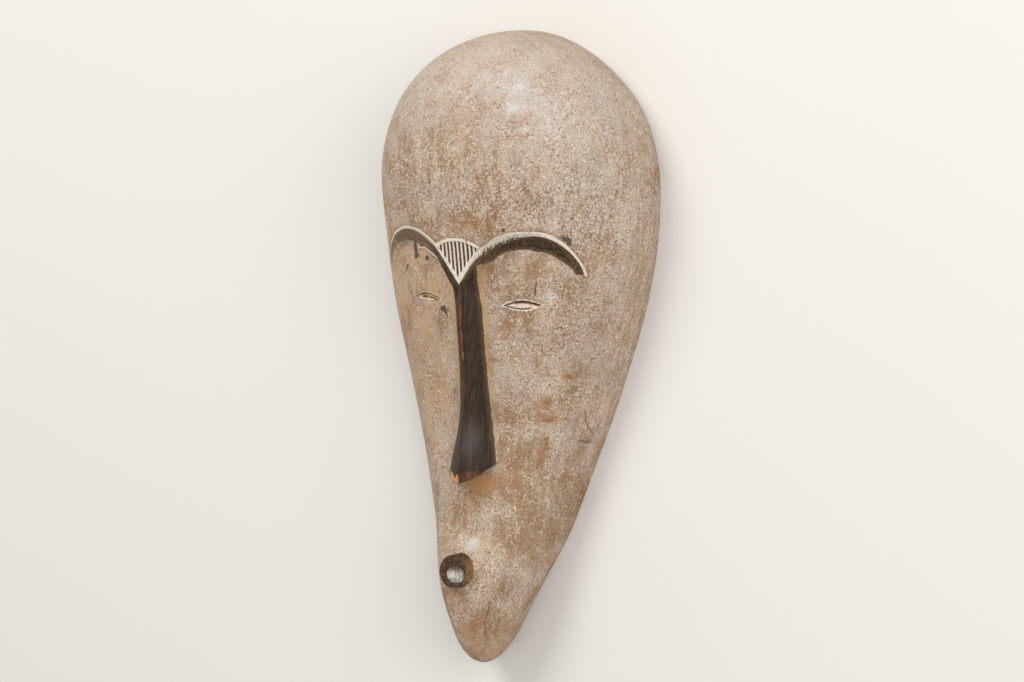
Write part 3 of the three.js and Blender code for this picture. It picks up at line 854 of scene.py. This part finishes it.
# dark specks, pale crumbs and scabs, pits and soot; also gives the height of the crust
def crustOnClay(n, colour, busy, lowForehead, strip):
    clay, rust, grain = n.field("clay"), n.field("rust"), n.noise("grain")
    speck = n.rise(n.add(n.noise("speck"), n.times(busy, -0.06), n.times(strip, 0.1)), 0.37, 0.3)
    colour = n.blend(n.times(speck, 0.7), colour, "speck")
    crumb = n.rise(n.add(n.noise("crumb"), n.times(busy, 0.09), n.times(lowForehead, 0.03),
                         n.times(strip, -0.15), n.times(rust, -0.1)), 0.61, 0.67)
    colour = n.blend(n.times(crumb, 0.62), colour, "fleck")
    scab = n.add(n.noise("scab"), n.times(clay, 0.06), n.times(strip, -0.15), n.times(rust, -0.12))
    scabby = n.times(n.rise(scab, 0.635, 0.67), n.add(0.2, n.times(grain, 0.9)))
    colour = n.blend(scabby, colour, "fleck")
    side = n.times(n.rise(n.z, 80, 20), n.rise(n.noise("side"), 0.42, 0.62))
    colour = n.blend(n.times(side, 0.45), colour, "wood")
    pits = n.times(n.rise(n.noise("pits"), 0.35, 0.29), n.add(0.25, n.times(busy, 0.75)))
    colour = n.blend(n.times(pits, 0.75), colour, "pit")
    soot = n.edge(n.field("soot"), n.noise("soot"), 0.9, 0.7, 0.98)
    colour = n.blend(n.times(soot, 0.85), colour, "soot")
    relief = n.add(n.times(grain, 0.8), n.times(crumb, 0.3), n.times(n.noise("fine"), 0.45),
                   n.times(n.noise("patch"), 0.6), n.times(n.noise("streak"), 0.25),
                   n.times(pits, -0.5), n.times(scab, 0.3))
    return colour, relief


def slitEyes(n, colour):
    underLid, overLid, along = n.field("underLid"), n.field("overLid"), n.field("alongEye")
    ragged = n.swing("eyeEdge", 3.2)
    isLeft = n.rise(n.x, 1, -1)
    around = n.times(n.edge(underLid, ragged, 1, -2.2, -1.1), n.edge(overLid, ragged, 1, -2.2, -0.8))
    around = n.times(around, n.rise(n.noise("eyeChalk"), 0.4, 0.56))
    colour = n.blend(n.times(around, n.add(0.85, n.times(isLeft, -0.55))), colour, "line")
    inside = n.times(n.rise(underLid, -0.2, 0.2), n.rise(overLid, -0.2, 0.2))
    fill = n.blend(n.times(n.rise(n.noise("grain"), 0.52, 0.4), 0.5), "eyeFill", "ochre")

    # the right eye: an orange band under the upper lid, a dark line along the upper lid that is partly stain
    # and partly painted shade, and a short lower line
    orange = n.times(n.edge(underLid, ragged, 1, 3.3, 2.6), n.edge(along, ragged, 1, -9, -5))
    right = n.blend(n.times(orange, 0.85), fill, "eyeOrange")
    # the dark along the upper lid: stain in the groove together with painted shade under the lid
    over = n.edge(underLid, ragged, 0.6, 2.2, 1.6)
    under = n.edge(overLid, ragged, 0.5, 1.5, 1.0)
    under = n.times(under, n.edge(along, ragged, 1, 9, 6))
    right = n.blend(n.times(n.math("MAXIMUM", over, under), 0.9), right, "eyeLineAndShade")

    # the left eye: ochre, with a red-brown and an olive slit
    left = n.blend(n.edge(overLid, ragged, 0.5, 2.4, 3.2), fill, "ochre")
    slit = n.edge(underLid, ragged, 0.4, 2, 2.5)
    slit = n.times(slit, n.edge(underLid, ragged, 1, 4.4, 3.8))
    left = n.blend(n.times(slit, n.rise(along, -8, -6), n.rise(along, 1, 0)), left, "redBrown")
    left = n.blend(n.times(slit, n.rise(along, 2.5, 3.5), n.rise(along, 14, 12)), left, "olive")
    over = n.edge(underLid, ragged, 0.5, 1.7, 1.1)
    under = n.times(n.edge(overLid, ragged, 0.6, 1.3, 0.8), 0.75)
    left = n.blend(n.times(n.math("MAXIMUM", over, under), 0.85), left, "olive")
    return n.blend(inside, colour, n.blend(isLeft, right, left))


# chalk-white lines, with edges that wander a little
def whiteLines(n, colour, wander, tooth):
    line = n.field("line")
    rim = n.times(n.edge(line, tooth, 0.8, -1.9, -0.7), n.rise(tooth, -0.25, 0.3))
    colour = n.blend(n.times(rim, 0.5), colour, "pit")
    inLine = n.rise(n.add(line, n.times(wander, 0.3), n.times(tooth, 0.45)), -0.25, 0.35)
    chalk = n.blend(n.rise(n.noise("chalk"), 0.49, 0.34), "line", "ochre")
    return n.blend(n.times(inLine, 0.96), colour, chalk)


# dark stain: hairy under the brows, with a painted highlight low on the nose, rubbed on its ridge, faded at
# the left end
def darkStain(n, colour, wander, tooth):
    fibre, teeth = n.noise("fibre"), n.swing("teeth", 14)
    midBrow = n.times(n.rise(n.y, 80, 94), n.rise(n.x, 0, 12), n.rise(n.x, 70, 50))
    topEdge = n.add(n.field("topEdge"), n.times(teeth, n.add(0.15, n.times(midBrow, 0.85))))
    body = n.add(n.field("stain"), n.times(wander, 0.7), n.times(tooth, 0.8))
    inStain = n.math("MINIMUM", body, topEdge)
    dark = n.blend(n.rise(fibre, 0.46, 0.72), "stain", "stainWarm")
    edge = n.edge(inStain, teeth, 0.2, 3.6, 0.8)
    dark = n.blend(n.times(edge, 0.45), dark, "stainEdge")
    hairs = n.times(n.rise(n.noise("hairs"), 0.46, 0.58), n.rise(n.y, 70, 80))
    dark = n.blend(n.times(hairs, 0.8), dark, "stainEdge")
    # a painted highlight: a cool grey sheen blended into the stain low on the nose, where the clay marks lie
    paintedSheen = n.times(n.rise(n.field("clay"), 0.1, 0.9), n.rise(n.noise("paintedSheen"), 0.25, 0.6))
    dark = n.blend(n.times(paintedSheen, 0.42), dark, "paintedHighlight")
    rubbed = n.times(n.rise(n.field("rust"), 0.25, 0.9), n.rise(fibre, 0.38, 0.62))
    rubbed = n.times(rubbed, n.add(0.25, n.times(n.rise(n.y, -112, -95), 0.75)))
    dark = n.blend(n.times(rubbed, 0.85), dark, "worn")
    leftEnd = n.times(n.rise(n.x, -30, -50), n.rise(n.y, 60, 75))
    fading = n.add(0.3, n.times(n.rise(n.noise("fading"), 0.36, 0.56), 0.65))
    faded = n.blend(n.rise(n.x, -78, -95), "faded", "fadedGrey")
    faded = n.blend(n.rise(fibre, 0.55, 0.4), faded, "stainEdge")
    dark = n.blend(n.times(leftEnd, fading), dark, faded)
    stained = n.rise(inStain, -0.3, 0.5)
    return n.blend(n.times(stained, n.add(0.97, n.times(leftEnd, -0.15))), colour, dark), stained


def mouthColours(n, colour, tooth):
    ring = n.field("mouthRing")
    onTube = n.times(n.edge(ring, tooth, 1, 21, 20), n.rise(ring, -1, 0))
    tube = n.blend(n.rise(n.noise("tube"), 0.4, 0.62), "mouthDark", "mouthRing")
    worn = n.times(n.edge(ring, tooth, 2.5, 13.4, 16), n.rise(n.x, 3, 13))
    worn = n.times(worn, n.rise(n.noise("tubeWear"), 0.32, 0.54))
    colour = n.blend(onTube, colour, n.blend(n.times(worn, 0.85), tube, "mouthOchre"))
    inside = n.blend(n.rise(n.noise("inMouth"), 0.42, 0.58), "mouthIn", "mouthCool")
    upper = n.rise(n.add(n.y, n.times(n.noise("mouthEdge"), 6)), -206.5, -202.5)
    inside = n.blend(n.times(upper, 0.8), inside, "mouthBrown")
    return n.blend(n.times(onTube, n.edge(ring, tooth, 1, 9.4, 8.2)), colour, inside), onTube


def clayOnWood():
    material = plainMaterial("clayOnWood", (0.5, 0.4, 0.3), 0.85)
    n = Nodes(material)
    shader = n.tree.nodes["Principled BSDF"]
    wander, tooth, fibre = n.swing("wander", 2.6), n.swing("tooth", 2.6), n.noise("fibre")
    busy, lowForehead = busyClay(n)
    colour = rustOnClay(n, clayCoat(n, busy, lowForehead))
    colour, strip = besidePaint(n, colour)
    colour, relief = crustOnClay(n, colour, busy, lowForehead, strip)
    colour = whiteLines(n, slitEyes(n, colour), wander, tooth)
    colour, stained = darkStain(n, colour, wander, tooth)

    # worn stain in the fan's grooves, and the thin pale line under the left brow
    inGroove = n.edge(n.field("groove"), tooth, 0.35, -0.15, 0.35)
    depth = n.add(0.45, n.times(n.rise(n.noise("grooveWear"), 0.36, 0.56), 0.5))
    colour = n.blend(n.times(inGroove, depth), colour, "groove")
    thin = n.edge(n.field("paleLine"), tooth, 0.3, -0.1, 0.3)
    colour = n.blend(n.times(thin, 0.85), colour, "line")
    dark = n.math("MAXIMUM", stained, inGroove)

    # fresh wood where the tip is chipped, dirt in the cracks, and the mouth
    splinter = n.blend(n.rise(fibre, 0.42, 0.6), "orange", "bareEdge")
    colour = n.blend(n.edge(n.field("chip"), tooth, 0.4, 0, 0.5), colour, splinter)
    cut = n.edge(n.field("cut"), tooth, 0.4, 0.05, 0.6)
    colour = n.blend(n.times(cut, 0.68), colour, "soot")
    colour, onTube = mouthColours(n, colour, tooth)

    # bare wood in the hollow and on the rim
    raw = n.blend(n.rise(n.noise("raw"), 0.4, 0.65), "rawWood", "rawDark")
    raw = n.blend(n.times(n.rise(n.noise("patch"), 0.4, 0.62), 0.35), raw, "pit")
    hollow = n.edge(n.field("hollow"), tooth, 0.1, 0.02, 0.2)
    n.put(shader.inputs["Base Color"], n.blend(hollow, colour, raw))

    shader.inputs["Specular IOR Level"].default_value = 0.25
    rough = n.add(0.86, n.times(dark, -0.36), n.times(n.noise("grain"), 0.08), n.times(onTube, -0.25))
    n.put(shader.inputs["Roughness"], rough)
    bump = n.tree.nodes.new("ShaderNodeBump")
    bump.inputs["Strength"].default_value = 0.8
    bump.inputs["Distance"].default_value = 0.9 * mm
    height = n.add(n.times(relief, n.add(1.0, n.times(dark, -0.85))), n.times(fibre, n.times(dark, 0.5)))
    n.put(bump.inputs["Height"], height)
    n.put(shader.inputs["Normal"], bump.outputs[0])
    return material


mask = buildMask()
print("triangles", sum(len(p.vertices) - 2 for p in mask.data.polygons))
mask.data.materials.append(clayOnWood())
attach(mask, "root")
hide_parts("carved_mask")
print("mask finished")

# The camera looks down on the lying mask from the photo's side.
view = Sizes(
    turn=32, rise=2.6, roll=3.78, distance=2200, target=(0, 0, 50),
    pixelsPerMm=1.066835, targetPixel=(496.85, 347.55), frame=(1024, 682), sensor=36,
)


def buildCamera():
    turn, rise, roll = (math.radians(a) for a in (view.turn, view.rise, view.roll))
    back = Vector((math.sin(turn) * math.cos(rise), math.sin(rise), math.cos(turn) * math.cos(rise)))
    right = Vector((0, 1, 0)).cross(back).normalized()
    up = back.cross(right)
    right, up = (right * math.cos(roll) + up * math.sin(roll), up * math.cos(roll) - right * math.sin(roll))
    place = (Vector(view.target) + back * view.distance) * mm
    camera = bpy.data.objects.new("camera", bpy.data.cameras.new("camera"))
    bpy.context.scene.collection.objects.link(camera)
    camera.matrix_world = Matrix.Translation(place) @ Matrix((right, up, back)).transposed().to_4x4()
    wide, tall = view.frame
    data = camera.data
    data.sensor_width = view.sensor
    data.lens = view.pixelsPerMm * view.distance * view.sensor / wide
    data.shift_x = (wide / 2 - view.targetPixel[0]) / wide
    data.shift_y = (view.targetPixel[1] - tall / 2) / wide
    data.clip_end = 20
    bpy.context.scene.camera = camera


buildCamera()

ground = Sizes(halfSize=6000, colour=(0.76, 0.74, 0.70), roughness=0.9)


def buildGround():
    floor = bmesh.new()
    bmesh.ops.create_grid(floor, x_segments=1, y_segments=1, size=ground.halfSize * mm)
    mesh = bpy.data.meshes.new("floor")
    floor.to_mesh(mesh)
    floor.free()
    plane = bpy.data.objects.new("floor", mesh)
    bpy.context.scene.collection.objects.link(plane)
    plane.data.materials.append(plainMaterial("paleFloor", ground.colour, ground.roughness))


buildGround()

# lamps: place and size in millimetres, power in watts, colour
lamps = {
    "keyLight": ((-1100, 1900, 2400), 1600, 52, (1.0, 0.97, 0.93)),
    "fillLight": ((2200, 700, 1900), 2400, 42, (1.0, 0.99, 0.97)),
}
sky = Sizes(colour=(0.99, 0.99, 1.0, 1), strength=0.55)


def addLamp(name, place, size, power, colour):
    data = bpy.data.lights.new(name, "AREA")
    data.shape = "DISK"
    data.size = size * mm
    data.energy = power
    data.color = colour
    lamp = bpy.data.objects.new(name, data)
    bpy.context.scene.collection.objects.link(lamp)
    lamp.location = Vector(place) * mm
    lamp.rotation_euler = (Vector(view.target) - Vector(place)).to_track_quat("-Z", "Y").to_euler()


def lightScene():
    for name, values in lamps.items():
        addLamp(name, *values)
    world = bpy.data.worlds.new("studio")
    world.use_nodes = True
    background = world.node_tree.nodes["Background"]
    background.inputs["Color"].default_value = sky.colour
    background.inputs["Strength"].default_value = sky.strength
    bpy.context.scene.world = world
    bpy.context.scene.view_settings.view_transform = "Standard"


lightScene()
print("camera, floor and lights placed")

print("scene made")
